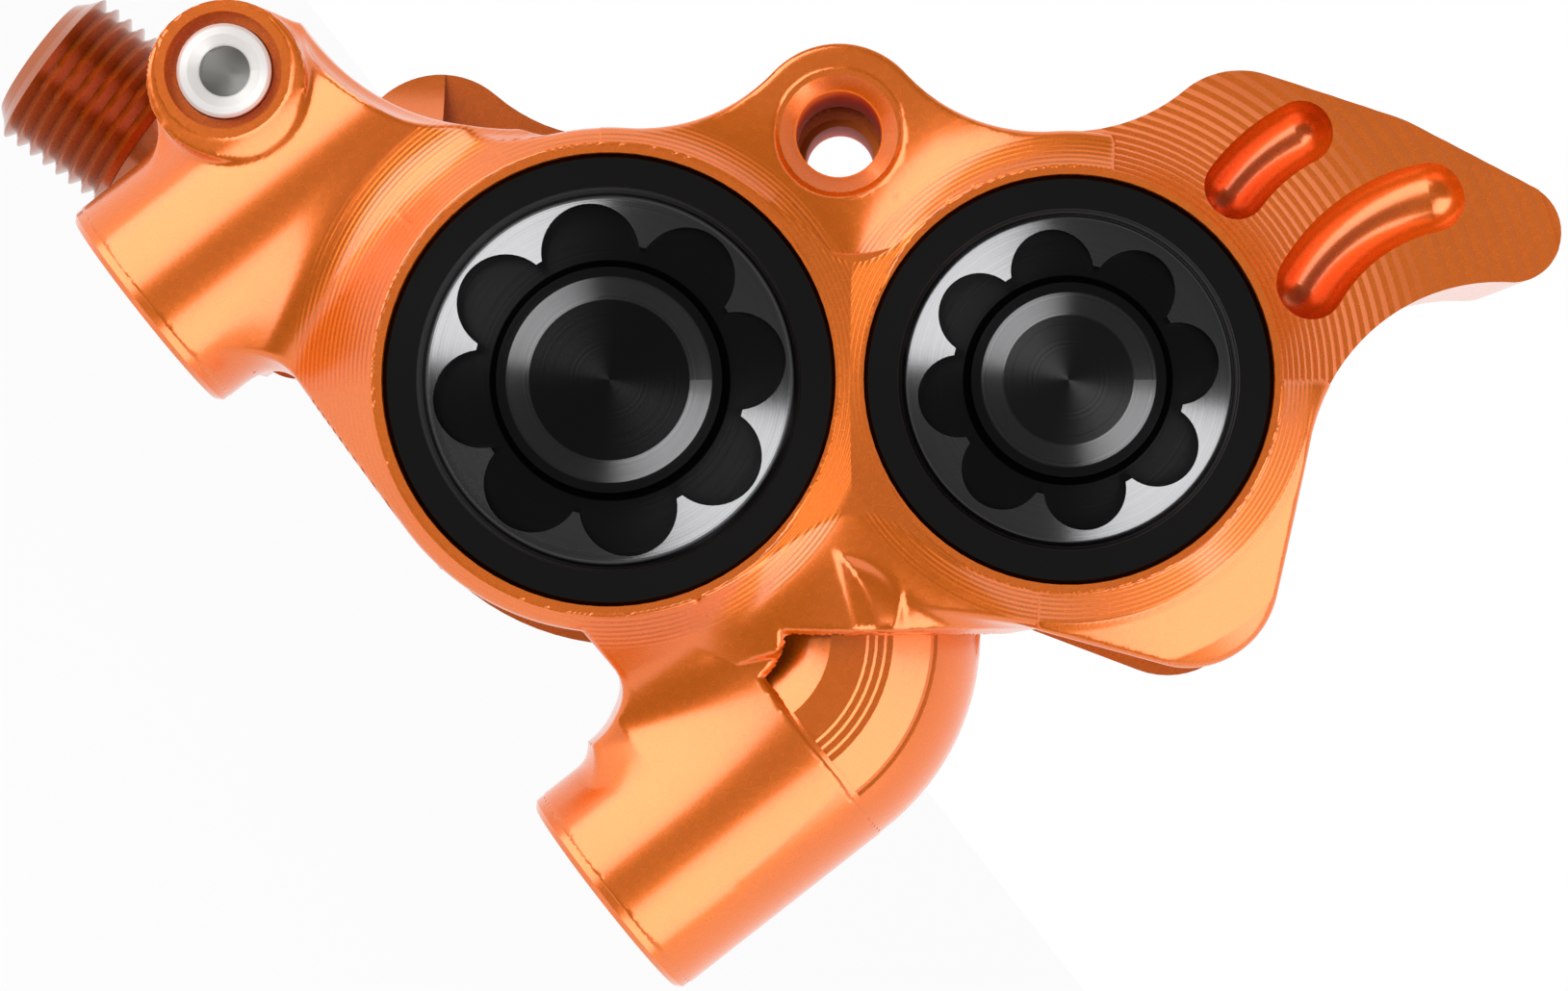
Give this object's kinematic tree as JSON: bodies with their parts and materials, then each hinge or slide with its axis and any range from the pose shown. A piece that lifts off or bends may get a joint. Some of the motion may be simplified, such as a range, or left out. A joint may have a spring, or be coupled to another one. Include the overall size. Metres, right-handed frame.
{
  "type": "bicycle disc brake caliper",
  "caption": "Flat-mount hydraulic disc brake caliper milled from one orange anodised billet, with black bore caps, pistons, pads, bleed screw and threaded hose stub",
  "frame": {"origin": "midway between the two mounting holes, on the face that stands on the bicycle's frame", "axes": "+X along the line of the mounting holes, towards the rotor's axle; +Y along the pistons, from the capped outboard side to the closed inboard side; +Z out of the mounting face into the caliper"},
  "size_m": [0.0576, 0.0351, 0.0541],
  "materials": {
    "anodised_orange": "orange anodised, turned and milled",
    "anodised_black": "black anodised, turned",
    "piston_steel": "ground",
    "plate_steel": "stamped",
    "screw_steel": "polished",
    "lining": "moulded friction compound",
    "rubber": "moulded"
  },
  "bodies": {
    "caliper": {"caliper_body": "anodised_orange", "large_bore_cap": "anodised_black", "small_bore_cap": "anodised_black", "large_cap_seal": "rubber", "small_cap_seal": "rubber", "outboard_large_piston_seal": "rubber", "outboard_small_piston_seal": "rubber", "inboard_large_piston_seal": "rubber", "inboard_small_piston_seal": "rubber", "hose_fitting": "anodised_orange", "hose_fitting_seal": "rubber", "gallery_plug": "piston_steel"},
    "outboard_pad": {"outboard_pad_plate": "plate_steel", "outboard_pad_lining": "lining"},
    "inboard_pad": {"inboard_pad_plate": "plate_steel", "inboard_pad_lining": "lining"},
    "outboard_large_piston": {"outboard_large_piston": "piston_steel"},
    "outboard_small_piston": {"outboard_small_piston": "piston_steel"},
    "inboard_large_piston": {"inboard_large_piston": "piston_steel"},
    "inboard_small_piston": {"inboard_small_piston": "piston_steel"},
    "bleed_screw": {"bleed_screw": "screw_steel", "bleed_screw_seal": "rubber"}
  },
  "joints": [
    {"name": "outboard_pad_slide", "type": "slide", "parent": "caliper", "child": "outboard_pad", "axis": [0, 1, 0], "range_m": [0, 0.0012], "stiffness_N_per_m": 1500},
    {"name": "inboard_pad_slide", "type": "slide", "parent": "caliper", "child": "inboard_pad", "axis": [0, -1, 0], "range_m": [0, 0.0012], "stiffness_N_per_m": 1500},
    {"name": "outboard_large_piston_slide", "type": "slide", "parent": "caliper", "child": "outboard_large_piston", "axis": [0, 1, 0], "range_m": [0, 0.0012], "stiffness_N_per_m": 1500},
    {"name": "outboard_small_piston_slide", "type": "slide", "parent": "caliper", "child": "outboard_small_piston", "axis": [0, 1, 0], "range_m": [0, 0.0012], "stiffness_N_per_m": 1500},
    {"name": "inboard_large_piston_slide", "type": "slide", "parent": "caliper", "child": "inboard_large_piston", "axis": [0, -1, 0], "range_m": [0, 0.0012], "stiffness_N_per_m": 1500},
    {"name": "inboard_small_piston_slide", "type": "slide", "parent": "caliper", "child": "inboard_small_piston", "axis": [0, -1, 0], "range_m": [0, 0.0012], "stiffness_N_per_m": 1500},
    {"name": "bleed_screw_turn", "type": "hinge", "parent": "caliper", "child": "bleed_screw", "pos_m": [-0.0229, 0, 0.00967], "axis": [0, -1, 0], "range_deg": [0, 360]}
  ],
  "couplings": [
    {"joint": "inboard_pad_slide", "follows": "outboard_pad_slide", "ratio": 1},
    {"joint": "outboard_large_piston_slide", "follows": "outboard_pad_slide", "ratio": 1},
    {"joint": "outboard_small_piston_slide", "follows": "outboard_pad_slide", "ratio": 1},
    {"joint": "inboard_large_piston_slide", "follows": "outboard_pad_slide", "ratio": 1},
    {"joint": "inboard_small_piston_slide", "follows": "outboard_pad_slide", "ratio": 1}
  ]
}
